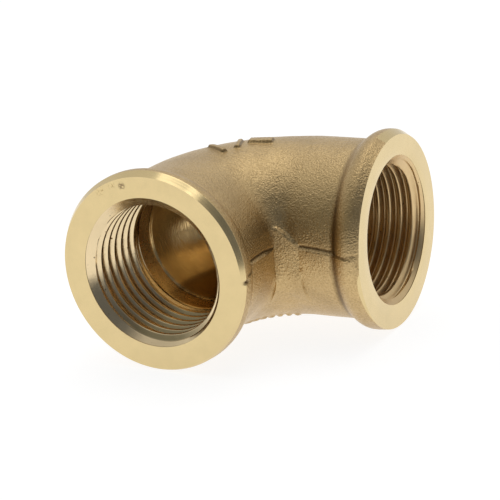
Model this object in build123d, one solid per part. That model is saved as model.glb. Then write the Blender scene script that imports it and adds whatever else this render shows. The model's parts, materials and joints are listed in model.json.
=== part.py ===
from build123d import *
import os
from math import cos, radians, sin, tan

# Equal 90 degree elbow, forged in brass, with a parallel pipe thread of nominal size 1/2 inch
# in each port. All sizes are in millimetres.
#
# Frame: the origin is the centre of port A's machined face. Port A opens towards -Y and
# port B towards +X, both axes lie in the plane z = 0, and they cross at (0, CENTRE_TO_FACE, 0).

# Overall layout
CENTRE_TO_FACE = 26.0       # from the crossing of the two port axes to each machined face
BODY_RADIUS = 13.1          # outside of the tube between the beads
BEND_RADIUS = 14.8          # centre line of the outside bend

# Bead: a rounded rim around each mouth, cut flat by the machined face
BEAD_RADIUS = 14.5          # largest radius of the rim
BEAD_FACE_RADIUS = 14.38    # the forged rim is flatter towards the face
BEAD_SECTION = 2.65         # radius of the rim's round back
BEAD_CENTRE_DEPTH = 1.75    # how far that section's centre lies behind the face
BEAD_BACK_ANGLE = 20.0      # the rim's section stops this far short of facing straight back
BEAD_LIFT = 0.2             # the forging sits this much above the machining axis
TURNED_EDGE_RADIUS = 14.08  # the lathe trims the rim to this radius at the face
TURNED_ANGLE = 30.0         # slope of the trimmed strip against the port axis, in degrees

# Pipe thread, nominal 1/2 inch, 14 threads per inch, right-hand
PITCH = 25.4 / 14
THREAD_MAJOR_RADIUS = 20.955 / 2
THREAD_MINOR_RADIUS = 18.631 / 2
THREAD_CREST_FLAT = PITCH / 6    # width of the ridge at the minor radius
THREAD_HALF_ANGLE = 27.5
THREAD_ROOT_DEPTH = 11.6    # the full-depth root ends here, measured from the face
THREAD_END_DEPTH = 12.9     # the tap's lead has run out to the tapping size here
RIDGE_END_DEPTH = 12.5      # the ridge's centre line stops inside the lead
RIDGE_EMBED = 0.12          # how far the ridge is sunk into the wall that it grows from

# Mouth and inside
TAPPING_RADIUS = 19.0 / 2   # the drill used before tapping, which also trims the thread's crests
TAPPING_DEPTH = 16.0
MOUTH_RADIUS = 10.7
MOUTH_DEPTH = 0.2           # short plain edge, then a 45 degree countersink to the thread
PASSAGE_RADIUS = 9.2        # waterway around the bend, a little narrower than the drillings it joins
PASSAGE_BEND_RADIUS = 8.5

# Forging marks
FLASH_THICKNESS = 0.5       # what the trimming press left on the inside of the bend
FLASH_HEIGHT = 0.3
MARK_HEIGHT = 0.35          # plain raised bars along the top of the bend, and ribs under it
BARS = (                    # angle around the bend from port A's side, length, width, turn
    (29.0, 3.8, 0.9, 0),
    (42.5, 3.6, 0.8, -30),
    (55.5, 3.6, 1.8, 70),
)
RIB_COUNT = 7
RIB_ARC_RADIUS = 10.3       # the ribs stand across an arc of this radius around the bend's centre
RIB_FIRST_ANGLE = 26.0
RIB_STEP = 7.7
RIB_SIZE = (3.0, 0.7)

BEND_CENTRE = Vector(BEND_RADIUS, CENTRE_TO_FACE - BEND_RADIUS, 0)
REACH = 60.0                # longer than the object, for cutting solids that run past it

# Each port's own frame: +Z runs into the port from its face, +Y is the part's +Z
PORT_A = Plane(origin=(0, 0, 0), x_dir=(-1, 0, 0), z_dir=(0, 1, 0))
PORT_B = Plane(origin=(CENTRE_TO_FACE, CENTRE_TO_FACE, 0), x_dir=(0, -1, 0), z_dir=(-1, 0, 0))
PORTS = (PORT_A, PORT_B)


def elbow_path(bend_radius, start_depth):
    """Centre line from one port to the other, starting and ending start_depth behind the faces."""
    corner = CENTRE_TO_FACE - bend_radius
    first = Line((0, start_depth, 0), (0, corner, 0))
    bend = RadiusArc((0, corner, 0), (bend_radius, CENTRE_TO_FACE, 0), bend_radius)
    last = Line((bend_radius, CENTRE_TO_FACE, 0), (CENTRE_TO_FACE - start_depth, CENTRE_TO_FACE, 0))
    return first + bend + last


def elbow_tube(radius, bend_radius, start_depth):
    """Round bar swept along the elbow's centre line."""
    section = Plane(origin=(0, start_depth, 0), z_dir=(0, 1, 0)) * Circle(radius)
    return sweep(section, path=elbow_path(bend_radius, start_depth))


def bead(port):
    """Rounded rim around one mouth, with the lathe's trimmed strip at the face."""
    section_centre = BEAD_RADIUS - BEAD_SECTION
    front_middle = BEAD_RADIUS - (BEAD_RADIUS - BEAD_FACE_RADIUS) / 4
    back_depth = BEAD_CENTRE_DEPTH + BEAD_SECTION * cos(radians(BEAD_BACK_ANGLE))
    at_back = section_centre + BEAD_SECTION * sin(radians(BEAD_BACK_ANGLE))
    half_way = radians((90 + BEAD_BACK_ANGLE) / 2)
    front = ThreePointArc(
        (BEAD_FACE_RADIUS, 0, 0), (front_middle, 0, BEAD_CENTRE_DEPTH / 2), (BEAD_RADIUS, 0, BEAD_CENTRE_DEPTH))
    back_middle = (
        section_centre + BEAD_SECTION * sin(half_way), 0, BEAD_CENTRE_DEPTH + BEAD_SECTION * cos(half_way))
    back = ThreePointArc((BEAD_RADIUS, 0, BEAD_CENTRE_DEPTH), back_middle, (at_back, 0, back_depth))
    rest = Polyline((at_back, 0, back_depth), (0, 0, back_depth), (0, 0, 0), (BEAD_FACE_RADIUS, 0, 0))
    rim_solid = Pos(0, BEAD_LIFT, 0) * revolve(make_face(front + back + rest), Axis.Z, 360)
    spread = back_depth * tan(radians(TURNED_ANGLE))
    trimmed_to = Cone(TURNED_EDGE_RADIUS - spread, TURNED_EDGE_RADIUS + spread, 2 * back_depth)
    return port.location * (rim_solid & trimmed_to)


def thread_ridge():
    """Helical ridge of the internal thread, in a port's own frame."""
    start = MOUTH_DEPTH - PITCH / 2
    path = Pos(0, 0, start) * Helix(PITCH, RIDGE_END_DEPTH - start, THREAD_MAJOR_RADIUS)
    height = THREAD_MAJOR_RADIUS - THREAD_MINOR_RADIUS
    crest = THREAD_CREST_FLAT / 2
    foot = crest + (height + RIDGE_EMBED) * tan(radians(THREAD_HALF_ANGLE))
    profile = [(RIDGE_EMBED, -foot), (RIDGE_EMBED, foot), (-height, crest), (-height, -crest)]
    at_start = path @ 0
    frame = Plane(origin=at_start, x_dir=(at_start.X, at_start.Y, 0), z_dir=path % 0)
    section = frame * make_face(Polyline(*profile, close=True))
    return sweep(section, path=path, is_frenet=True)


def port_bore():
    """Everything the machining takes out of one port, in the port's own frame."""
    sink = MOUTH_RADIUS - TAPPING_RADIUS
    lead = THREAD_END_DEPTH - THREAD_ROOT_DEPTH
    tapped = Pos(0, 0, THREAD_ROOT_DEPTH / 2) * Cylinder(THREAD_MAJOR_RADIUS, THREAD_ROOT_DEPTH)
    run_out = Pos(0, 0, THREAD_ROOT_DEPTH + lead / 2) * Cone(THREAD_MAJOR_RADIUS, TAPPING_RADIUS, lead)
    drilled = Pos(0, 0, TAPPING_DEPTH / 2) * Cylinder(TAPPING_RADIUS, TAPPING_DEPTH)
    recess = Cylinder(MOUTH_RADIUS, 2 * MOUTH_DEPTH)
    countersink = Pos(0, 0, MOUTH_DEPTH + sink / 2) * Cone(MOUTH_RADIUS, TAPPING_RADIUS, sink)
    groove = tapped + run_out - thread_ridge()
    return groove + drilled + recess + countersink


def machine_port(solid, port, bore):
    """Take one port's bore out as an upper and a lower half, so that no wall face closes on itself."""
    for side in (1, -1):
        half_space = Pos(0, side * REACH / 2, 0) * Box(REACH, REACH, REACH)
        solid = solid.cut(port.location * (bore & half_space))
    return solid


def flash():
    """Thin ridge along the inside of the bend, where the trimming press cut the flash off."""
    swell = elbow_tube(BODY_RADIUS + FLASH_HEIGHT, BEND_RADIUS, BEAD_CENTRE_DEPTH)
    inner_side = Pos(REACH / 2, CENTRE_TO_FACE - REACH / 2, 0) * Box(REACH, REACH, FLASH_THICKNESS)
    return swell & inner_side


def blade(arc_radius, angle, length, width, turn, side):
    """Upright blade above (side 1) or below (side -1) the bend, pointing at the bend's centre."""
    along = arc_radius * cos(radians(angle))
    across = arc_radius * sin(radians(angle))
    spot = BEND_CENTRE + Vector(-along, across, side * REACH / 4)
    return Pos(*spot) * Rot(0, 0, turn - angle) * Box(length, width, REACH / 2)


def marks():
    """The raised bars and ribs, following the tube's own curve."""
    swell = elbow_tube(BODY_RADIUS + MARK_HEIGHT, BEND_RADIUS, BEAD_CENTRE_DEPTH)
    blades = Part()
    for angle, length, width, turn in BARS:
        blades += blade(BEND_RADIUS, angle, length, width, turn, 1)
    for index in range(RIB_COUNT):
        blades += blade(RIB_ARC_RADIUS, RIB_FIRST_ANGLE + index * RIB_STEP, *RIB_SIZE, 0, -1)
    return swell & blades


def elbow_body():
    """The whole forging with both ports machined."""
    solid = elbow_tube(BODY_RADIUS, BEND_RADIUS, BEAD_CENTRE_DEPTH) + flash() + marks()
    for port in PORTS:
        solid += bead(port)
    solid -= elbow_tube(PASSAGE_RADIUS, PASSAGE_BEND_RADIUS, MOUTH_DEPTH)
    bore = port_bore()
    for port in PORTS:
        solid = machine_port(solid, port, bore)
    return solid


os.makedirs("parts", exist_ok=True)
export_step(elbow_body(), "parts/elbow_body.step")
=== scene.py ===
"""Forged brass elbow with two female pipe threads: its visual mesh, its brass, its light and camera.

Lengths are in millimetres until a mesh or an object is made, and MM turns them into metres.
Each port has its own frame: depth runs into the port from its machined face, and the angle
turns about the port's axis, from the inner side of the bend (0) through straight up (90 degrees).
"""
import json
import math
from collections import namedtuple

import bmesh
import bpy
import numpy as np
from mathutils import Matrix, Vector, noise


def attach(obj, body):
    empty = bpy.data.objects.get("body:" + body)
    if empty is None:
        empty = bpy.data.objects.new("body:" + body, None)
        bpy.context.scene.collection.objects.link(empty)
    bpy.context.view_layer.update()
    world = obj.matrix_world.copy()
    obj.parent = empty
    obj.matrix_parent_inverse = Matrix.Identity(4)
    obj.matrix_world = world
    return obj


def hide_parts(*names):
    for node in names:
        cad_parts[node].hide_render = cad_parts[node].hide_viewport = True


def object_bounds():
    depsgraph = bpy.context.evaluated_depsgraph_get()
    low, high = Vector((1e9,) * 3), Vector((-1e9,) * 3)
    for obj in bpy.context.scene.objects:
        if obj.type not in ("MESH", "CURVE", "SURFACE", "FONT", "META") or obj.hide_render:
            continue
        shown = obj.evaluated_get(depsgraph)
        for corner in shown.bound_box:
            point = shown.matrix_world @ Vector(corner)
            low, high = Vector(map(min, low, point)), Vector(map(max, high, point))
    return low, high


MM = 0.001
UP = np.array((0.0, 0.0, 1.0))
WHITE = (1.0, 1.0, 1.0)

# Forged outside
BODY_RADIUS = 13.1
BEND_RADIUS = 14.8
BEAD_RADIUS = 14.5
BEAD_SECTION = 2.65
BEAD_CENTRE_DEPTH = 1.75
BEAD_FRONT_FULLNESS = 0.45  # the rim's section is flatter towards the face
BEAD_BACK = 2.15            # behind the section's centre, where its round back turns into a slope
BEAD_BACK_SLOPE = 1.6
BEAD_COVE = 1.1             # size of the cove between the bead and the tube
BEAD_LIFT = 0.2             # the forging sits this much above the machining axis
BODY_START_DEPTH = 4.9      # the bead and its cove are over here
TURNED_ANGLE = math.radians(30)
TURNED_SHIFT_ANGLE = math.radians(62)
ROUNDED_ANGLE = math.radians(28)    # around here port B's rim was forged rounder
ROUNDED_REACH = (0.64, 0.94)        # cosines of the angle from there: where that starts, and is full
UNTRIMMED = (math.radians(2), math.radians(80))     # between these the lathe left its skin on
CREVICE_DEPTH = 4.1         # the crevice between a bead's back and the tube
CREVICE_WIDTH = 0.55
CREVICE_CUT = 0.12

# Marks that the forging dies left
FORGED_WAVES = ((0.05, 0.22), (0.025, 0.7))     # soft unevenness: height, and waves per millimetre
DIE_SHIFT = 0.3             # the lower half stands out this much on the inside of the bend
OUTER_FLASH_HEIGHT = 0.14   # low ridge where the halves met on the outside of the bend
OUTER_FLASH_WIDTH = 0.25
# Height of the ledge along each port: at its face, then each rise and the depths that it takes
LEDGE_A = (0.3, (0.75, 1.0, 4.5), (-0.3, 9.0, 12.0))
LEDGE_B = (0.1, (0.8, 0.0, 10.0))
LEDGE_ARC_SHARE = 0.12      # around the bend its depth grows by this share of the centre line's
LEDGE_WIDTH = 0.22
LEDGE_GROOVE = 0.16
LEDGE_GROOVE_HEIGHT = 0.30  # above the middle of the ledge
LEDGE_GROOVE_WIDTH = 0.19
CORNER = (1.75, 0.9)        # the shaved inner corner, from the bend's centre towards -X and +Y
CORNER_DRAFT = 0.14         # slope of the shaved flat on port A's flank
CORNER_SLOPE = 0.234        # slope of the one on port B's flank, which runs out into the tube
CORNER_LEAN = 0.06          # how much that one also leans back
CORNER_TOP = 3.8
CORNER_FADE = (-8.0, -1.4)  # heights between which the shaved flat sets in from below
CORNER_REACH = 1.9          # the flat on port B's flank stands this far from the bend's centre
FACET_TOP_AT = (9.55, 1.38) # its upper edge: a depth in port B, and its height there
FACET_TOP_SLOPE = 0.82
FACET_END_DEPTH = 9.4
NICK_DEPTH = 0.9            # where the flash broke out of a rim, behind the face
NICK_SIZE = (0.24, 0.5)     # upwards, and along the port
MARK_SOFTNESS = 0.21        # half the width of a mark's sloping side
BAR_HEIGHT = 0.45
RIB_HEIGHT = 0.25
LOWER_FLATTENING = 0.14     # the tube's underside is this much flatter than its top
BARS = ((29.0, 3.8, 0.9, 0.0), (42.5, 3.6, 0.8, -30.0), (55.5, 3.6, 1.8, 70.0))
RIB_COUNT = 7
RIB_ARC_RADIUS = 10.3
RIB_FIRST_ANGLE = 26.0
RIB_STEP = 7.7
RIB_SIZE = (3.0, 0.7)

# Machined mouth
MOUTH_RADIUS = 10.67
MOUTH_DEPTH = 0.12          # short plain edge, then a 45 degree countersink
DEBURR_RADIUS = 10.93       # a light second chamfer, cut off centre by DEBURR_OFFSET
DEBURR_OFFSET = (0.24, 0.63)
DEBURR_SLOPE = 0.2
DEBURR_LEAST = 0.06         # its narrowest width
MOUTH_SWELL = 0.36          # the same chamfer opened the mouth's edge up on one side
MOUTH_SWELL_ANGLE = math.radians(78)
FACE_RINGS = (13.3, 12.6)   # two rings on the face, between which outer and inner columns meet

# Pipe thread, nominal 1/2 inch, right-hand
PITCH = 25.4 / 14
THREAD_MAJOR_RADIUS = 20.955 / 2
TAPPING_RADIUS = 9.5
ROOT_END_DEPTH = 11.4
THREAD_END_DEPTH = 12.9
DRILL_DEPTH = 16.0
DRILL_END_LENGTH = 0.25     # slope from the drilling down to the waterway
PASSAGE_RADIUS = 9.2
PASSAGE_BEND_RADIUS = 8.5
PASSAGE_BOTTOM_SHADE = 0.85        # painted shade along the bottom of the waterway, where its reflections go dark
DRILL_BOTTOM_SHADE = 0.5
BOTTOM_SHADE_MIDDLE = 80.0 # degrees below the inner side of the bend
BOTTOM_SHADE_REACH = 45.0
BOTTOM_SHADE_SOFTNESS = 3.0
# Half of the ridge's profile: share of the pitch from its middle, share of its height
RIDGE_PROFILE = (
    (0.0, 1.0), (0.09, 1.0), (0.13, 0.965), (0.165, 0.88), (0.2, 0.76),
    (0.33, 0.3), (0.38, 0.12), (0.43, 0.03), (0.5, 0.0))

# Mesh columns around the outside, in degrees: from, to, step. They are closer together at the
# parting line on the inner side, and at the marks on top.
OUTER_COLUMNS = ((-4.0, 18.0, 0.45), (18.0, 75.0, 1.5), (75.0, 105.0, 0.75), (105.0, 356.0, 1.5))
# Mesh rings around the bend, in degrees: from, to, number
BEND_RINGS = ((0.0, 25.0, 25), (25.0, 64.0, 78), (64.0, 90.0, 24))
# Mesh rings of a bead: shares of the lathe's strip, then shares of the way from it to the tube
TURNED_RINGS = (0.0, 0.1, 0.25, 0.4, 0.55, 0.7, 0.85, 0.95, 1.0)
BEAD_RINGS = (0.06, 0.16, 0.28, 0.4, 0.5, 0.6, 0.68, 0.76, 0.84, 0.92, 1.0)
INNER_COLUMNS = 128
TURNING_FEED = 0.22         # distance between the turning marks on the faces
WELD = 0.002                # points closer than this are one
SHARP_ANGLE = math.radians(32)

# The mesh's material slots, in the order in which they are filled below
FORGED, MACHINED_A, MACHINED_B, THREAD_A, THREAD_B, DRILLED, PASSAGE_A, PASSAGE_B = range(8)
# Mesh attribute of painted shade, 0 to 1: darkening painted into creases, grooves, the nick, the bars'
# sides and the waterway's bottom
SHADE_ATTRIBUTE = "painted_shade"

# Scuffs on port A's face: place, reach, colour, share left clean
FACE_SCUFFS = (
    ((-3.3, 0.0, 12.6), 0.65, (0.45, 0.42, 0.42), 0.42),
    ((-5.0, 0.0, 12.6), 0.7, (0.66, 0.60, 0.50), 0.54),
    ((-6.9, 0.0, 11.7), 0.9, (0.70, 0.62, 0.50), 0.54),
)

# Camera and stage
CAMERA_PLACE = (121.3, -194.2, 77.6)
CAMERA_ANGLES = (28.51, 18.21, -4.68)       # azimuth, elevation and roll, in degrees
CAMERA_LENS = 125.9
FLOOR_REACH = 3.0                           # metres
FLOOR_DIM_SIDE = (0.707, -0.707, 0.0)
FLOOR_FALL_OFF = (0.075, 0.13)              # metres along that direction
FLOOR_GLOW = (0.86, 0.15)                   # emission before and after it
LIGHT_TARGET = (0.01, 0.01, 0.0)            # metres, as are the lights' places and sizes
TENT_OPENING = (0.672, -0.672, 0.309)
TENT_TONES = (                              # degrees from the opening's middle, colour
    (0.0, (0.12, 0.13, 0.15)),
    (40.0, (0.15, 0.16, 0.18)),
    (52.0, (0.30, 0.30, 0.30)),
    (64.0, (0.68, 0.68, 0.68)),
    (120.0, (0.70, 0.70, 0.70)),
    (180.0, (0.80, 0.80, 0.80)),
)
TENT_SHADE = (-0.483, -0.837, 0.259)
SHADE_TONES = (                             # degrees from the shaded side's middle, colour
    (0.0, (0.25, 0.26, 0.23)),
    (20.0, (0.29, 0.30, 0.27)),
    (34.0, (0.60, 0.60, 0.58)),
    (50.0, WHITE),
    (180.0, WHITE),
)

# The inner corner's upright flat at one ring: its distance inwards from the tube's centre line, how
# much it leans back per height, its upper edge, and whether it may stand proud of the tube
Flat = namedtuple("Flat", "across lean top stands_proud")


class Port:
    """One machined end: its place, its thread and what is particular about its rim.

    face is the centre of its face, into points into the port and inner to the inside of the bend.
    climb is 1 where the thread gets deeper as the angle grows, and -1 where it gets shallower.
    thread_phase is the depth of one turn's ridge at angle 0. turned_edge is the radius of the
    lathe's cone at the face, turned_shift how far off centre that cone lies, and inner_roundness
    how much rounder the rim was forged. ledge is LEDGE_A or LEDGE_B, and nick gives the height at
    which the rim is nicked and how deep the nick is. materials are those of the faces and thread.
    """

    def __init__(self, face, into, inner, climb, thread_phase, turned_edge, turned_shift,
                 inner_roundness, ledge, nick, materials):
        self.face = np.array(face, float)
        self.into = np.array(into, float)
        self.inner = np.array(inner, float)
        self.climb = climb
        self.thread_phase = thread_phase
        self.turned_edge = turned_edge
        self.turned_shift = turned_shift
        self.inner_roundness = inner_roundness
        self.ledge = ledge
        self.nick = nick
        self.material, self.thread_material = materials

    def points(self, depth, radius, angle):
        """Points at a depth, radius and angle, which may be arrays."""
        depth, radius, angle = np.broadcast_arrays(depth, radius, angle)
        out = self.face + depth[..., None] * self.into
        out = out + (radius * np.cos(angle))[..., None] * self.inner
        return out + (radius * np.sin(angle))[..., None] * UP


class Shell:
    """Collects strips of quads between rows of points, each strip with its material."""

    def __init__(self):
        self.points = []
        self.faces = []
        self.materials = []
        self.count = 0

    def row(self, points):
        """Adds a row. Its points may carry their painted shade, 0 to 1, as a fourth number."""
        if points.shape[1] == 3:
            points = np.column_stack((points, np.zeros(len(points))))
        self.points.append(points)
        first = self.count
        self.count += len(points)
        return np.arange(first, self.count)

    def strip(self, low, high, material):
        """Quads between two rows of the same length; material is one index or one per quad."""
        low_next = np.roll(low, -1)
        high_next = np.roll(high, -1)
        self.faces.extend(np.stack((low, low_next, high_next, high), axis=1).tolist())
        self.materials.extend(np.broadcast_to(material, len(low)).tolist())

    def patch(self, rows, material):
        """Strips between each row of points and the next, which close on themselves."""
        indices = [self.row(points) for points in rows]
        for low, high in zip(indices, indices[1:]):
            self.strip(low, high, material)
        return indices


def smoothstep(low, high, value):
    """0 below low, 1 above high, and a smooth rise between."""
    t = np.clip((value - low) / (high - low), 0.0, 1.0)
    return t * t * (3 - 2 * t)


def smooth_max(a, b, width):
    """The larger of a and b, with a fillet about as wide as width where they cross."""
    overlap = np.maximum(width - np.abs(a - b), 0.0) / width
    return np.maximum(a, b) + overlap * overlap * width / 4


def outer_angles():
    """Columns around the outside."""
    return np.radians(np.concatenate([np.arange(*group) for group in OUTER_COLUMNS]))


def bend_turns():
    """Angles of the rings around the bend, in radians, from port A's side to port B's."""
    groups = [np.linspace(start, stop, count, endpoint=False) for start, stop, count in BEND_RINGS]
    return np.radians(np.append(np.concatenate(groups), BEND_RINGS[-1][1]))


def inner_angles(climb=1):
    """Columns around the bores, in the direction in which the thread climbs."""
    return climb * 2 * math.pi * np.arange(INNER_COLUMNS) / INNER_COLUMNS


# Outside ------------------------------------------------------------------------------------

def tube_radius(angle):
    """Radius of the tube, which is a little flatter underneath."""
    return BODY_RADIUS - LOWER_FLATTENING * smoothstep(0.5, 1.0, -np.sin(angle))


def ledge_height(port, depth):
    """Height of the parting ledge on the inner side, at a depth behind a port's face."""
    height, *rises = port.ledge
    for rise, low, high in rises:
        height = height + rise * smoothstep(low, high, depth)
    return height


def ledge_groove(angle, height, ledge):
    """1 in the fine groove above the ledge, falling to 0 beside it."""
    from_groove = height - ledge - LEDGE_GROOVE_HEIGHT
    return np.exp(-(from_groove / LEDGE_GROOVE_WIDTH) ** 2) * (np.cos(angle) > 0)


def die_shift(angle, height, ledge):
    """Outward step of the lower half, with a fine groove above it, and the flash on the outer side."""
    above = height - ledge
    below = np.clip(0.5 - above / LEDGE_WIDTH, 0.0, 1.0)
    inner = np.clip(np.cos(angle), 0.0, None)
    groove = LEDGE_GROOVE * ledge_groove(angle, height, ledge)
    outer_flash = OUTER_FLASH_HEIGHT * np.exp(-(height / OUTER_FLASH_WIDTH) ** 2) * (np.cos(angle) < 0)
    return DIE_SHIFT * below * inner - groove + outer_flash


def bead_section(port, depth, angle):
    """Radius of the forged rim before the lathe trims it."""
    from_centre = depth - BEAD_CENTRE_DEPTH
    inner_share = smoothstep(*ROUNDED_REACH, np.cos(angle - ROUNDED_ANGLE))
    front = BEAD_FRONT_FULLNESS + port.inner_roundness * inner_share
    from_centre = np.where(from_centre < 0, from_centre * front, from_centre)
    held = np.minimum(from_centre, BEAD_BACK)
    radius = BEAD_RADIUS - BEAD_SECTION + np.sqrt(BEAD_SECTION ** 2 - held ** 2)
    return radius - BEAD_BACK_SLOPE * (from_centre - held) + BEAD_LIFT * np.sin(angle)


def turned_radius(port, depth, angle):
    """Radius of the lathe's cone, which may be off centre."""
    off_centre = port.turned_shift * np.cos(angle - TURNED_SHIFT_ANGLE)
    return port.turned_edge - off_centre + depth * math.tan(TURNED_ANGLE)


def turned_depth(port, angle):
    """How far back the lathe's cone reaches before it leaves the forged rim."""
    low = np.full_like(angle, 0.05)
    high = np.full_like(angle, BEAD_CENTRE_DEPTH + BEAD_SECTION * 0.9)
    for _ in range(30):
        middle = (low + high) / 2
        inside = bead_section(port, middle, angle) > turned_radius(port, middle, angle)
        low = np.where(inside, middle, low)
        high = np.where(inside, high, middle)
    return low


def nick_share(port, depth, height, angle):
    """1 in the nick in a port's rim, falling to 0 around it."""
    from_middle = ((height - port.nick[0]) / NICK_SIZE[0]) ** 2
    share = np.exp(-from_middle - ((depth - NICK_DEPTH) / NICK_SIZE[1]) ** 2)
    return share * (np.cos(angle) > 0)


def bead_row(port, depth, angle):
    """One ring of the rim, the crevice behind it and the start of the tube, with the shade painted into
    its crevice, seam and nick.
    """
    rim = np.minimum(bead_section(port, depth, angle), turned_radius(port, depth, angle))
    height = rim * np.sin(angle)
    ledge = ledge_height(port, depth)
    top_or_bottom = smoothstep(0.4, 0.95, np.abs(np.sin(angle)))
    crevice = np.exp(-((depth - CREVICE_DEPTH) / CREVICE_WIDTH) ** 2) * (1 - 0.75 * top_or_bottom)
    radius = smooth_max(rim, tube_radius(angle), BEAD_COVE)
    radius = radius - CREVICE_CUT * crevice * (1 - top_or_bottom)
    shift_share = 0.25 * smoothstep(1.0, 1.7, depth) + 0.75 * smoothstep(3.4, BODY_START_DEPTH, depth)
    radius = radius + shift_share * die_shift(angle, height, ledge)
    nick = nick_share(port, depth, height, angle)
    radius = radius - port.nick[1] * nick
    # Painted shade: darker colour in the crevice, the groove above the ledge and the nick, where shade
    # falls
    seam = ledge_groove(angle, height, ledge) * smoothstep(0.8, 1.8, depth)
    nick_shade = np.minimum(5 * port.nick[1] * nick, 1.0)
    painted_shade = np.maximum(np.maximum(0.8 * crevice, nick_shade), 0.8 * seam)
    return np.column_stack((port.points(depth, radius, angle), painted_shade))


def bead_rows(port, angle):
    """Rings from the face's outer edge back to the tube; the lathe trimmed the TURNED_RINGS."""
    edge = turned_depth(port, angle)
    depths = [edge * share for share in TURNED_RINGS]
    depths += [edge + (BODY_START_DEPTH - edge) * share for share in BEAD_RINGS]
    return [bead_row(port, depth, angle) for depth in depths]


def mark_mask(x, y, centre, direction, length, width):
    """1 on a bar with soft edges, lying in plan at a centre and along a direction."""
    dx = x - centre[0]
    dy = y - centre[1]
    along = np.abs(dx * math.cos(direction) + dy * math.sin(direction))
    across = np.abs(dy * math.cos(direction) - dx * math.sin(direction))
    inside = 1 - smoothstep(length / 2 - MARK_SOFTNESS, length / 2 + MARK_SOFTNESS, along)
    return inside * (1 - smoothstep(width / 2 - MARK_SOFTNESS, width / 2 + MARK_SOFTNESS, across))


def marks(points, angle):
    """Height of the plain bars on top and of the ribs underneath, and 1 on the bars' steep sides, where
    shade is painted.
    """
    x, y = points[:, 0], points[:, 1]
    height = np.zeros(len(points))
    side = np.zeros(len(points))
    for degrees, length, width, turn in BARS:
        centre = on_bend(BEND_RADIUS, degrees)
        direction = math.radians(turn - degrees)
        bar = mark_mask(x, y, centre, direction, length, width) * (np.sin(angle) > 0)
        height = np.maximum(height, BAR_HEIGHT * bar)
        side = np.maximum(side, 4 * bar * (1 - bar))
    for index in range(RIB_COUNT):
        degrees = RIB_FIRST_ANGLE + index * RIB_STEP
        centre = on_bend(RIB_ARC_RADIUS, degrees)
        rib = mark_mask(x, y, centre, math.radians(-degrees), *RIB_SIZE) * (np.sin(angle) < 0)
        height = np.maximum(height, RIB_HEIGHT * rib)
    return height, side


def on_bend(radius, degrees):
    """A point in plan on an arc around the outside bend's centre, measured from port A's side."""
    turn = math.radians(degrees)
    return (BEND_RADIUS - radius * math.cos(turn), LENGTH - BEND_RADIUS + radius * math.sin(turn))


def forged_waviness(points):
    """Low, soft unevenness of a hot forging, in millimetres along the radius."""
    out = np.empty(len(points))
    for index, point in enumerate(points):
        place = Vector(point)
        out[index] = sum(height * noise.noise(place * rate) for height, rate in FORGED_WAVES)
    return out


def body_row(centre, inward, port, depth, angle, flat):
    """One ring of the tube, cut by the inner corner's flat unless that is None, with the shade painted
    along its seam and on the bars' sides.
    """
    ledge = ledge_height(port, depth)
    radius = tube_radius(angle)
    radius = radius + die_shift(angle, BODY_RADIUS * np.sin(angle), ledge)
    ring = centre + np.outer(radius * np.cos(angle), inward) + np.outer(radius * np.sin(angle), UP)
    mark, mark_side = marks(ring, angle)
    radius = radius + forged_waviness(ring) + mark
    across = radius * np.cos(angle)
    height = radius * np.sin(angle)
    seam_shows = flat is None or not flat.stands_proud
    # Painted shade along the groove above the ledge and on the bars' steep sides
    seam = 0.8 * ledge_groove(angle, height, ledge) * seam_shows
    if flat is not None:
        across = shave(across, height, flat)
    points = centre + np.outer(across, inward) + np.outer(height, UP)
    return np.column_stack((points, np.maximum(seam, 0.75 * mark_side)))


def shave(across, height, flat):
    """Moves the inner side to an upright flat, which may stand proud of the tube or only cut it."""
    target = flat.across - flat.lean * np.clip(height - 0.5, 0.0, None)
    share = smoothstep(*CORNER_FADE, height) * (1 - smoothstep(flat.top - 0.35, flat.top + 0.3, height))
    if not flat.stands_proud:
        target = np.minimum(target, across)
    return np.where(across > 0, across + (target - across) * share, across)


def facet_top(depth):
    """Upper edge of the flat on port B's flank, which drops towards the port."""
    at_depth, height = FACET_TOP_AT
    return min(CORNER_TOP, height + FACET_TOP_SLOPE * (depth - at_depth))


def facet_offset(beyond=0.0):
    """How far the flat on port B's flank stands from the bend's centre, at a length beyond it."""
    return CORNER[1] + CORNER_SLOPE * (CORNER[0] + beyond)


def flat_before_bend(depth):
    """The flat at a depth in port A, before the bend."""
    from_corner = CORNER[1] + LENGTH - BEND_RADIUS - depth
    return Flat(BEND_RADIUS - CORNER[0] + CORNER_DRAFT * from_corner, 0.0, CORNER_TOP, False)


def flat_on_bend(turn):
    """The flat that the inner side meets at an angle around the bend."""
    if math.tan(turn) < CORNER[1] / CORNER[0]:
        left = CORNER[0] - CORNER_DRAFT * CORNER[1]
        left = left / (math.cos(turn) - CORNER_DRAFT * math.sin(turn))
        return Flat(BEND_RADIUS - left, 0.0, CORNER_TOP, False)
    depth = LENGTH - BEND_RADIUS + CORNER_REACH * math.cos(turn)
    slant = math.sin(turn) + CORNER_SLOPE * math.cos(turn)
    return Flat(BEND_RADIUS - facet_offset() / slant, CORNER_LEAN / slant, facet_top(depth), True)


def flat_after_bend(depth):
    """The flat at a depth in port B, behind the bend, or None where it has run out."""
    if depth <= FACET_END_DEPTH:
        return None
    across = BEND_RADIUS - facet_offset(LENGTH - BEND_RADIUS - depth)
    return Flat(across, CORNER_LEAN, facet_top(depth), True)


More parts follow.
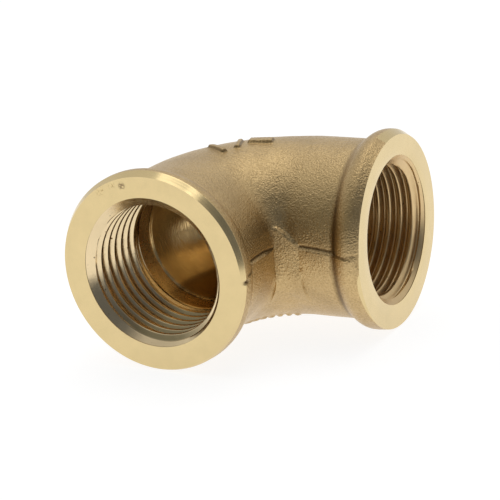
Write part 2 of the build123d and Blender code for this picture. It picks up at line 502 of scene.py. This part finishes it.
def body_rows(angle):
    """Rings from the back of bead A, around the bend, to the back of bead B."""
    rows = []
    straight = LENGTH - BEND_RADIUS
    for depth in np.linspace(BODY_START_DEPTH, straight, 15)[:-1]:
        centre = PORT_A.face + depth * PORT_A.into
        rows.append(body_row(centre, PORT_A.inner, PORT_A, depth, angle, flat_before_bend(depth)))
    corner = np.array((BEND_RADIUS, straight, 0.0))
    for turn in bend_turns():
        outward = np.array((-math.cos(turn), math.sin(turn), 0.0))
        port = PORT_A if turn < math.pi / 4 else PORT_B
        depth = straight + BEND_RADIUS * LEDGE_ARC_SHARE * min(turn, math.pi / 2 - turn)
        centre = corner + BEND_RADIUS * outward
        rows.append(body_row(centre, -outward, port, depth, angle, flat_on_bend(turn)))
    along_facet = np.linspace(straight, FACET_END_DEPTH, 13)[1:]
    behind_it = np.linspace(FACET_END_DEPTH, BODY_START_DEPTH, 9)[1:]
    for depth in (*along_facet, *behind_it):
        centre = PORT_B.face + depth * PORT_B.into
        rows.append(body_row(centre, PORT_B.inner, PORT_B, depth, angle, flat_after_bend(depth)))
    return rows


# Ports --------------------------------------------------------------------------------------

def deburr_radius(angle):
    """Outer radius of the off-centre chamfer, never inside the mouth's own edge."""
    toward = DEBURR_OFFSET[0] * np.cos(angle) + DEBURR_OFFSET[1] * np.sin(angle)
    beside = DEBURR_OFFSET[1] * np.cos(angle) - DEBURR_OFFSET[0] * np.sin(angle)
    reach = toward + np.sqrt(DEBURR_RADIUS ** 2 - beside ** 2)
    return np.maximum(reach, mouth_radius(angle) + DEBURR_LEAST)


def mouth_radius(angle):
    """Radius of the mouth's edge, a little larger on the side that was deburred most."""
    return MOUTH_RADIUS + MOUTH_SWELL * smoothstep(0.3, 1.0, np.cos(angle - MOUTH_SWELL_ANGLE))


def thread_radius(depth, phase, angle):
    """Wall radius in the threaded length. phase is the share of a pitch from the ridge's middle."""
    share = np.array([p[0] for p in RIDGE_PROFILE])
    ridge = np.array([p[1] for p in RIDGE_PROFILE])
    height = np.interp(np.abs(phase), share, ridge) * (THREAD_MAJOR_RADIUS - TAPPING_RADIUS)
    wall = THREAD_MAJOR_RADIUS - height
    fade = smoothstep(ROOT_END_DEPTH, THREAD_END_DEPTH, depth)
    wall = wall + (TAPPING_RADIUS - wall) * fade
    countersink = mouth_radius(angle) - (depth - MOUTH_DEPTH)
    return np.maximum(wall, countersink)


def thread_patch(shell, port):
    """The threaded wall as rows that climb with the helix and are cut off flat at both ends."""
    offsets = [share for share, _ in RIDGE_PROFILE]
    offsets += [1 - share for share in reversed(offsets[1:-1])]
    per_turn = len(offsets)
    turns = math.ceil(THREAD_END_DEPTH / PITCH) + 3
    climb = np.arange(INNER_COLUMNS + 1) / INNER_COLUMNS
    angle = port.climb * 2 * math.pi * climb
    columns = []
    for index in range(-per_turn, turns * per_turn):
        share = offsets[index % per_turn]
        turn = index // per_turn
        centre = port.thread_phase + (turn + share + climb - 1) * PITCH
        depth = np.clip(centre, MOUTH_DEPTH, THREAD_END_DEPTH)
        phase = (depth - port.thread_phase) / PITCH - climb
        phase = phase - np.round(phase)
        columns.append(port.points(depth, thread_radius(depth, phase, angle), angle))
    for low, high in zip(columns, columns[1:]):
        first = shell.row(low)
        second = shell.row(high)
        quads = np.stack((first[:-1], first[1:], second[1:], second[:-1]), axis=1)
        shell.faces.extend(quads.tolist())
        shell.materials.extend([port.thread_material] * len(quads))


def zip_rings(shell, outer, outer_angle, inner, inner_angle, material):
    """Triangles between two rings with different numbers of points, walked around together."""
    full_turn = 2 * math.pi
    beyond = 1.5 * full_turn
    outer_order = np.argsort(outer_angle % full_turn)
    inner_order = np.argsort(inner_angle % full_turn)
    outer_turn = np.append(outer_angle[outer_order] % full_turn, beyond)
    inner_turn = np.append(inner_angle[inner_order] % full_turn, beyond)
    i = j = 0
    while i < len(outer_order) or j < len(inner_order):
        here = (outer[outer_order[i % len(outer_order)]], inner[inner_order[j % len(inner_order)]])
        inner_done = j >= len(inner_order)
        if inner_done or (i < len(outer_order) and outer_turn[i + 1] <= inner_turn[j + 1]):
            i += 1
            third = outer[outer_order[i % len(outer_order)]]
        else:
            j += 1
            third = inner[inner_order[j % len(inner_order)]]
        shell.faces.append([int(here[0]), int(third), int(here[1])])
        shell.materials.append(material)


def mouth_patch(shell, port, edge_row, angle):
    """The machined face from its outer edge inwards, the off-centre chamfer and the mouth's edge."""
    outer_radius, inner_radius = FACE_RINGS
    ring = shell.row(port.points(0.0, outer_radius, angle))
    shell.strip(edge_row, ring, port.material)
    turn = inner_angles(port.climb)
    inner_ring = shell.row(port.points(0.0, inner_radius, turn))
    zip_rings(shell, ring, angle, inner_ring, turn, port.material)
    deburr = deburr_radius(turn)
    edge = mouth_radius(turn)
    rows = [
        port.points(0.0, inner_radius, turn),
        port.points(0.0, deburr, turn),
        port.points(np.minimum(DEBURR_SLOPE * (deburr - edge), 0.8 * MOUTH_DEPTH), edge, turn),
        port.points(MOUTH_DEPTH, edge, turn),
    ]
    shell.patch(rows, port.material)


def bottom_shade(turn):
    """1 on the part of the waterway's bottom that gets painted shade, 0 elsewhere."""
    from_middle = (np.degrees(turn) + BOTTOM_SHADE_MIDDLE + 180) % 360 - 180
    low = BOTTOM_SHADE_REACH - BOTTOM_SHADE_SOFTNESS
    high = BOTTOM_SHADE_REACH + BOTTOM_SHADE_SOFTNESS
    return 1 - smoothstep(low, high, np.abs(from_middle))


def drill_patch(shell, port):
    """Plain drilled wall behind the thread, up to the end of the drilling."""
    turn = inner_angles(port.climb)
    depths = np.linspace(THREAD_END_DEPTH, DRILL_DEPTH, 6)
    rows = [port.points(depth, TAPPING_RADIUS, turn) for depth in depths]
    # Painted shade along the bottom of the drilling
    shade_share = DRILL_BOTTOM_SHADE * bottom_shade(turn)
    shell.patch([np.column_stack((points, shade_share)) for points in rows], DRILLED)


def passage_patch(shell):
    """Waterway around the bend, a little narrower than the two drillings that it joins."""
    turn = inner_angles()
    corner = np.array((PASSAGE_BEND_RADIUS, LENGTH - PASSAGE_BEND_RADIUS, 0.0))
    rings = [(DRILL_DEPTH, TAPPING_RADIUS), (DRILL_DEPTH + DRILL_END_LENGTH, PASSAGE_RADIUS)]
    rows = [PORT_A.points(depth, radius, turn) for depth, radius in rings]
    for around in np.radians(np.linspace(0, 90, 31)):
        outward = np.array((-math.cos(around), math.sin(around), 0.0))
        centre = corner + PASSAGE_BEND_RADIUS * outward
        across = PASSAGE_RADIUS * np.cos(turn)
        rows.append(centre + np.outer(across, -outward) + np.outer(PASSAGE_RADIUS * np.sin(turn), UP))
    rows += [PORT_B.points(depth, radius, turn) for depth, radius in reversed(rings)]
    # Painted shade along the bottom of the waterway
    shade_share = PASSAGE_BOTTOM_SHADE * bottom_shade(turn)
    rows = [np.column_stack((points, shade_share)) for points in rows]
    half = len(rows) // 2
    shell.patch(rows[:half + 1], PASSAGE_A)
    shell.patch(rows[half:], PASSAGE_B)


# Assembly -----------------------------------------------------------------------------------

def build_shell():
    """Every strip of the elbow's closed surface."""
    shell = Shell()
    angle = outer_angles()
    rows_a = bead_rows(PORT_A, angle)
    rows_b = bead_rows(PORT_B, angle)
    middle = body_rows(angle)
    rows_a[-1] = middle[0]
    rows_b[-1] = middle[-1]
    for port, rows in ((PORT_A, rows_a), (PORT_B, rows_b)):
        untrimmed = (port.inner_roundness > 0) & (angle > UNTRIMMED[0]) & (angle < UNTRIMMED[1])
        strip_material = np.where(untrimmed, FORGED, port.material)
        last_turned = len(TURNED_RINGS) - 1
        indices = shell.patch(rows[:last_turned + 1], strip_material)
        shell.patch(rows[last_turned:], FORGED)
        mouth_patch(shell, port, indices[0], angle)
        thread_patch(shell, port)
        drill_patch(shell, port)
    shell.patch(middle, FORGED)
    passage_patch(shell)
    return shell


def make_mesh(shell):
    """The shell as one closed mesh in metres, welded, with its sharp machined edges marked."""
    mesh = bpy.data.meshes.new("elbow")
    points = np.concatenate(shell.points)
    mesh.from_pydata((points[:, :3] * MM).tolist(), [], shell.faces)
    # The fourth number of each point, its painted shade, becomes a mesh attribute
    mesh.attributes.new(SHADE_ATTRIBUTE, "FLOAT", "POINT").data.foreach_set("value", points[:, 3])
    mesh.polygons.foreach_set("material_index", shell.materials)
    soup = bmesh.new()
    soup.from_mesh(mesh)
    bmesh.ops.remove_doubles(soup, verts=soup.verts, dist=WELD * MM)
    bmesh.ops.dissolve_degenerate(soup, edges=soup.edges, dist=1e-5 * MM)
    bmesh.ops.recalc_face_normals(soup, faces=soup.faces)
    soup.to_mesh(mesh)
    soup.free()
    mesh.polygons.foreach_set("use_smooth", [True] * len(mesh.polygons))
    mesh.set_sharp_from_angle(angle=SHARP_ANGLE)
    return mesh


# Materials ----------------------------------------------------------------------------------

def multiply(tree, first, second):
    """Product of two colours; 6, 7 and 2 are the Mix node's own colour sockets."""
    node = tree.nodes.new("ShaderNodeMix")
    node.data_type = "RGBA"
    node.blend_type = "MULTIPLY"
    node.inputs["Factor"].default_value = 1.0
    tree.links.new(first, node.inputs[6])
    tree.links.new(second, node.inputs[7])
    return node.outputs[2]


class Nodes:
    """Short names for building one material's node tree."""

    def __init__(self, name):
        self.material = bpy.data.materials.new(name)
        self.material.use_nodes = True
        self.tree = self.material.node_tree
        self.shader = self.tree.nodes["Principled BSDF"]
        self.shader.inputs["Metallic"].default_value = 1.0
        self.place = self.tree.nodes.new("ShaderNodeTexCoord").outputs["Object"]

    def link(self, source, node, socket):
        """Feeds an output socket into one of a node's inputs."""
        self.tree.links.new(source, node.inputs[socket])

    def noise(self, size_mm, detail=2.0, roughness=0.5, stretch=None):
        """Noise with features of about size_mm; stretch scales the coordinates per axis."""
        node = self.tree.nodes.new("ShaderNodeTexNoise")
        node.inputs["Scale"].default_value = 1.0 / (size_mm * MM)
        node.inputs["Detail"].default_value = detail
        node.inputs["Roughness"].default_value = roughness
        place = self.place
        if stretch:
            mapping = self.tree.nodes.new("ShaderNodeMapping")
            mapping.inputs["Scale"].default_value = stretch
            self.link(self.place, mapping, "Vector")
            place = mapping.outputs[0]
        self.link(place, node, "Vector")
        return node.outputs["Fac"]

    def ramp(self, value, stops):
        """Colour ramp over (position, colour) stops."""
        node = self.tree.nodes.new("ShaderNodeValToRGB")
        elements = node.color_ramp.elements
        while len(elements) < len(stops):
            elements.new(0.5)
        for element, (position, colour) in zip(elements, stops):
            element.position = position
            element.color = (*colour, 1.0)
        self.link(value, node, "Fac")
        return node.outputs["Color"]

    def spread(self, value, low, high, low_out, high_out):
        """Maps value from low..high to low_out..high_out, held at the ends."""
        node = self.tree.nodes.new("ShaderNodeMapRange")
        node.inputs["From Min"].default_value = low
        node.inputs["From Max"].default_value = high
        node.inputs["To Min"].default_value = low_out
        node.inputs["To Max"].default_value = high_out
        self.link(value, node, "Value")
        return node.outputs["Result"]

    def near(self, vector, place, reach):
        """1 near a place, which is in millimetres, falling to 0 at reach."""
        node = self.tree.nodes.new("ShaderNodeVectorMath")
        node.operation = "DISTANCE"
        node.inputs[1].default_value = [value * MM for value in place]
        self.link(vector, node, 0)
        return self.spread(node.outputs["Value"], 0.5 * reach * MM, reach * MM, 1.0, 0.0)

    def math(self, operation, first, second):
        """A Math node's result; each operand is a number or an output socket."""
        node = self.tree.nodes.new("ShaderNodeMath")
        node.operation = operation
        for socket, value in enumerate((first, second)):
            if isinstance(value, (int, float)):
                node.inputs[socket].default_value = value
            else:
                self.link(value, node, socket)
        return node.outputs[0]

    def multiply_colour(self, first, second):
        """Product of two colours in this material."""
        return multiply(self.tree, first, second)

    def painted_shade_tone(self):
        """Painted shade: darkening wherever the mesh carries it, in creases, grooves, the nick, the bars'
        sides and the waterway's bottom.
        """
        painted_shade = self.tree.nodes.new("ShaderNodeAttribute")
        painted_shade.attribute_name = SHADE_ATTRIBUTE
        return self.ramp(painted_shade.outputs["Fac"], [(0.0, WHITE), (1.0, (0.20, 0.16, 0.13))])

    def bump(self, height, depth_mm, below=None):
        """Bump of depth_mm over a 0..1 height, on top of another bump if one is given."""
        node = self.tree.nodes.new("ShaderNodeBump")
        node.inputs["Strength"].default_value = 1.0
        node.inputs["Distance"].default_value = depth_mm * MM
        self.link(height, node, "Height")
        if below is not None:
            self.link(below, node, "Normal")
        return node.outputs["Normal"]

    def finish(self, colour, roughness, normal):
        """Gives the shader what varies over the surface, and returns the material."""
        self.link(colour, self.shader, "Base Color")
        self.link(roughness, self.shader, "Roughness")
        self.link(normal, self.shader, "Normal")
        return self.material


def forged_brass():
    """Granular, slightly oxidised skin of the hot forging."""
    nodes = Nodes("forged_brass")
    grain = nodes.noise(0.28, 2.5, 0.65)
    patches = nodes.noise(5.0, 2.0)
    tone = nodes.ramp(patches, [(0.3, (0.57, 0.41, 0.205)), (0.7, (0.67, 0.485, 0.24))])
    speck = nodes.ramp(grain, [(0.3, (0.74, 0.71, 0.66)), (0.5, (0.90, 0.89, 0.87)), (0.7, WHITE)])
    colour = nodes.multiply_colour(tone, speck)
    colour = nodes.multiply_colour(colour, nodes.painted_shade_tone())
    roughness = nodes.spread(grain, 0.3, 0.7, 0.42, 0.27)
    soft = nodes.bump(nodes.noise(1.1, 2.0), 0.03)
    normal = nodes.bump(grain, 0.12, soft)
    return nodes.finish(colour, roughness, normal)


def machined_brass(name, port, scuffs=()):
    """Bright faced brass, with fine turning marks around a port's axis and a few scuffs."""
    nodes = Nodes(name)
    shift = nodes.tree.nodes.new("ShaderNodeMapping")
    shift.inputs["Location"].default_value = [-value * MM for value in port.face]
    shift.inputs["Scale"].default_value = [1.0 - abs(value) for value in port.into]
    nodes.link(nodes.place, shift, "Vector")
    length = nodes.tree.nodes.new("ShaderNodeVectorMath")
    length.operation = "LENGTH"
    nodes.link(shift.outputs[0], length, 0)
    radius = length.outputs["Value"]
    rings = nodes.math("SINE", nodes.math("MULTIPLY", radius, 2 * math.pi / (TURNING_FEED * MM)), 0.0)
    wear = nodes.noise(4.0, 4.0, 0.6)
    colour = nodes.ramp(wear, [(0.3, (0.70, 0.55, 0.285)), (0.75, (0.76, 0.595, 0.31))])
    for place, reach, tone, threshold in scuffs:
        near = nodes.near(shift.outputs[0], place, reach)
        patchy = nodes.spread(nodes.noise(0.33, 3.0, 0.6), threshold, threshold + 0.06, 0.0, 1.0)
        mask = nodes.math("MULTIPLY", near, patchy)
        colour = nodes.multiply_colour(colour, nodes.ramp(mask, [(0.0, WHITE), (1.0, tone)]))
    colour = nodes.multiply_colour(colour, nodes.painted_shade_tone())
    roughness = nodes.spread(nodes.noise(1.5, 4.0, 0.7), 0.3, 0.75, 0.17, 0.27)
    soft = nodes.bump(nodes.noise(2.5, 2.0), 0.006)
    normal = nodes.bump(nodes.spread(rings, -1, 1, 0, 1), 0.0012, soft)
    return nodes.finish(colour, roughness, normal)


def threaded_brass(name, colour, roughness_range):
    """Freshly cut thread, bright, with a few dark specks of cutting dust; the colour given per port is
    lighter or darker as painted light and shade.
    """
    nodes = Nodes(name)
    darker = [0.94 * channel for channel in colour]
    specks = nodes.noise(0.55, 2.0, 0.5)
    dirt = nodes.ramp(specks, [(0.24, (0.16, 0.11, 0.06)), (0.29, WHITE)])
    tone = nodes.ramp(nodes.noise(3.0, 2.0), [(0.3, darker), (0.7, colour)])
    colour = nodes.multiply_colour(tone, dirt)
    roughness = nodes.spread(nodes.noise(0.9, 3.0, 0.6), 0.3, 0.7, *roughness_range)
    normal = nodes.bump(nodes.noise(0.6, 2.0), 0.005)
    return nodes.finish(colour, roughness, normal)


def drilled_brass():
    """Plain drilled wall, a little duller than the thread, its colour darkened as painted shade deep in
    the bore.
    """
    nodes = Nodes("drilled_brass")
    colour = nodes.ramp(nodes.noise(2.0, 3.0), [(0.3, (0.50, 0.33, 0.15)), (0.7, (0.58, 0.40, 0.18))])
    colour = nodes.multiply_colour(colour, nodes.painted_shade_tone())
    roughness = nodes.spread(nodes.noise(1.0, 3.0, 0.6), 0.3, 0.7, 0.22, 0.34)
    normal = nodes.bump(nodes.noise(0.8, 2.0), 0.008)
    return nodes.finish(colour, roughness, normal)


def passage_brass(name, groove_scale):
    """Drilled waterway, whose fine circular grooves draw its reflections out along its axis."""
    nodes = Nodes(name)
    mottle = nodes.noise(3.2, 4.0, 0.6)
    colour = nodes.ramp(mottle, [
        (0.3, (0.60, 0.41, 0.18)),
        (0.55, (0.68, 0.48, 0.22)),
        (0.75, (0.74, 0.54, 0.27)),
    ])
    colour = nodes.multiply_colour(colour, nodes.painted_shade_tone())
    roughness = nodes.spread(mottle, 0.3, 0.75, 0.20, 0.12)
    soft = nodes.bump(nodes.noise(2.4, 3.0), 0.012)
    normal = nodes.bump(nodes.noise(1.6, 2.0, 0.5, groove_scale), 0.03, soft)
    return nodes.finish(colour, roughness, normal)


# Stage --------------------------------------------------------------------------------------

def make_floor(height):
    """Plain pale table, whose soft glow falls off on the side that the picture is taken from."""
    mesh = bpy.data.meshes.new("floor")
    corners = [(x * FLOOR_REACH, y * FLOOR_REACH, height) for x, y in ((-1, -1), (1, -1), (1, 1), (-1, 1))]
    mesh.from_pydata(corners, [], [(0, 1, 2, 3)])
    floor = bpy.data.objects.new("floor", mesh)
    bpy.context.scene.collection.objects.link(floor)
    nodes = Nodes("floor_pale")
    shader = nodes.shader
    shader.inputs["Metallic"].default_value = 0.0
    shader.inputs["Base Color"].default_value = (0.30, 0.30, 0.30, 1.0)
    shader.inputs["Roughness"].default_value = 0.9
    shader.inputs["Specular IOR Level"].default_value = 0.0
    shader.inputs["Emission Color"].default_value = (1.0, 1.0, 1.0, 1.0)
    toward = nodes.tree.nodes.new("ShaderNodeVectorMath")
    toward.operation = "DOT_PRODUCT"
    toward.inputs[1].default_value = FLOOR_DIM_SIDE
    nodes.link(nodes.place, toward, 0)
    glow = nodes.spread(toward.outputs["Value"], *FLOOR_FALL_OFF, *FLOOR_GLOW)
    nodes.link(glow, shader, "Emission Strength")
    mesh.materials.append(nodes.material)


def make_softbox(name, place, size, radiance):
    """Square soft light of an even brightness, aimed at the object."""
    data = bpy.data.lights.new(name, "AREA")
    data.shape = "SQUARE"
    data.size = size
    data.energy = radiance * math.pi * size * size
    light = bpy.data.objects.new(name, data)
    light.location = place
    light.rotation_euler = (Vector(LIGHT_TARGET) - Vector(place)).to_track_quat("-Z", "Y").to_euler()
    bpy.context.scene.collection.objects.link(light)


def tent_tones(tree, direction, toward, tones):
    """Colour by the angle between a direction and the middle of one part of the tent."""
    dot = tree.nodes.new("ShaderNodeVectorMath")
    dot.operation = "DOT_PRODUCT"
    dot.inputs[1].default_value = toward
    tree.links.new(direction, dot.inputs[0])
    share = tree.nodes.new("ShaderNodeMapRange")
    share.inputs["From Min"].default_value = -1.0
    tree.links.new(dot.outputs["Value"], share.inputs["Value"])
    ramp = tree.nodes.new("ShaderNodeValToRGB")
    stops = ramp.color_ramp.elements
    while len(stops) < len(tones):
        stops.new(0.5)
    for stop, (degrees, colour) in zip(stops, reversed(tones)):
        stop.position = (1 + math.cos(math.radians(degrees))) / 2
        stop.color = (*colour, 1.0)
    tree.links.new(share.outputs["Result"], ramp.inputs["Fac"])
    return ramp.outputs["Color"]


def make_world():
    """White tent with a wide dark opening towards the camera and a shaded side beside port A."""
    world = bpy.data.worlds.new("studio")
    bpy.context.scene.world = world
    world.use_nodes = True
    tree = world.node_tree
    background = tree.nodes["Background"]
    direction = tree.nodes.new("ShaderNodeTexCoord").outputs["Generated"]
    opening = tent_tones(tree, direction, TENT_OPENING, TENT_TONES)
    shade = tent_tones(tree, direction, TENT_SHADE, SHADE_TONES)
    tree.links.new(multiply(tree, opening, shade), background.inputs["Color"])


def make_camera():
    """Camera at the picture's angle: azimuth and elevation of the view, and a slight roll."""
    azimuth, elevation, roll = (math.radians(value) for value in CAMERA_ANGLES)
    level = Vector((math.cos(azimuth), math.sin(azimuth), 0.0))
    outward = Vector((math.sin(azimuth), -math.cos(azimuth), 0.0))
    back = outward * math.cos(elevation) + Vector((0.0, 0.0, math.sin(elevation)))
    right = math.cos(roll) * level + math.sin(roll) * back.cross(level)
    upward = back.cross(right)
    data = bpy.data.cameras.new("camera")
    data.lens = CAMERA_LENS
    data.sensor_width = 36.0
    data.clip_start = 0.01
    camera = bpy.data.objects.new("camera", data)
    turned = Matrix((right, upward, back)).transposed().to_4x4()
    camera.matrix_world = Matrix.Translation(Vector(CAMERA_PLACE) * MM) @ turned
    bpy.context.scene.collection.objects.link(camera)
    bpy.context.scene.camera = camera


# Scene --------------------------------------------------------------------------------------

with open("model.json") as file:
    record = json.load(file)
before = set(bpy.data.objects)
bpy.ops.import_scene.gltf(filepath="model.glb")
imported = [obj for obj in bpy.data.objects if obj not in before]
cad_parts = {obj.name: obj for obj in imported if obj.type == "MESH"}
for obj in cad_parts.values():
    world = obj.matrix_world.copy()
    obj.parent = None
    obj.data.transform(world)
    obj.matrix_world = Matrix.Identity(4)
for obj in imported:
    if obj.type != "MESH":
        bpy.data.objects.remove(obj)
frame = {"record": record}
cad_box = [list(corner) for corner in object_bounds()]
mounts = {mount["name"]: mount for mount in frame["record"]["mounts"]}
LENGTH = mounts["port_b_face"]["pos_m"][0] / MM
PORT_A = Port(
    face=(0, 0, 0),
    into=(0, 1, 0),
    inner=(1, 0, 0),
    climb=-1,
    thread_phase=0.80 - PITCH / 2,
    turned_edge=14.03,
    turned_shift=0.0,
    inner_roundness=0.0,
    ledge=LEDGE_A,
    nick=(-0.1, 0.25),
    materials=(MACHINED_A, THREAD_A))
PORT_B = Port(
    face=(LENGTH, LENGTH, 0),
    into=(-1, 0, 0),
    inner=(0, -1, 0),
    climb=1,
    thread_phase=1.65 - PITCH * 160 / 360,
    turned_edge=14.13,
    turned_shift=0.22,
    inner_roundness=0.6,
    ledge=LEDGE_B,
    nick=(0.8, 0.12),
    materials=(MACHINED_B, THREAD_B))

elbow = bpy.data.objects.new("elbow", make_mesh(build_shell()))
bpy.context.scene.collection.objects.link(elbow)
for material in (
        forged_brass(),
        machined_brass("machined_brass_a", PORT_A, FACE_SCUFFS),
        machined_brass("machined_brass_b", PORT_B),
        # One brass for both threads: port A's is given a lighter colour as painted light, port B's a
        # darker one as painted shade
        threaded_brass("threaded_brass_a_painted_light", (0.84, 0.67, 0.41), (0.14, 0.24)),
        threaded_brass("threaded_brass_b_painted_shade", (0.72, 0.53, 0.28), (0.30, 0.40)),
        drilled_brass(),
        passage_brass("passage_brass_a", (0.6, 12.0, 0.6)),
        passage_brass("passage_brass_b", (12.0, 0.6, 0.6))):
    elbow.data.materials.append(material)
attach(elbow, "root")
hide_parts("elbow_body")

make_floor(cad_box[0][2])
make_softbox("overhead", place=(0.18, 0.0, 0.57), size=0.12, radiance=1.15)
make_softbox("behind", place=(0.0, 0.20, 0.58), size=0.38, radiance=1.1)
make_world()
make_camera()
bpy.context.scene.view_settings.view_transform = "Standard"
